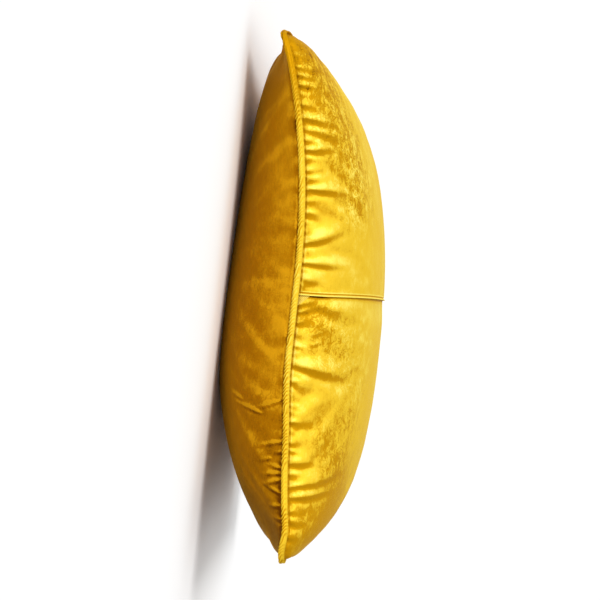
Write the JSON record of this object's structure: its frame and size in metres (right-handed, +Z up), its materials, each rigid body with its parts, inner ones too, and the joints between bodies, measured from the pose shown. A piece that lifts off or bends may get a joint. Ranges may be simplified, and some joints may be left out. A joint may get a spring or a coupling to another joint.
{
  "type": "throw cushion",
  "caption": "Square velvet throw cushion, lying on its plain face, with a piped seam and a hemmed overlap closure across its back.",
  "frame": {"origin": "on the resting face, under the middle of the square", "axes": "+Z up, from the plain front face that it lies on to the back with the closure; +X across the closure to the seam that stands higher; -Y to the seam side that the picture shows"},
  "size_m": [0.4454, 0.4454, 0.137],
  "materials": {
    "front_velvet": "short shiny velvet pile",
    "back_velvet": "short shiny velvet pile with crushed marks",
    "piping_velvet": "velvet cut on the bias, wrinkled over a cord",
    "tape_cloth": "matt woven tape"
  },
  "bodies": {
    "root": {"filled_body": "front_velvet", "back_panel_upper": "back_velvet", "back_panel_lower": "back_velvet", "piping": "piping_velvet", "closure_tape": "tape_cloth"}
  },
  "joints": []
}
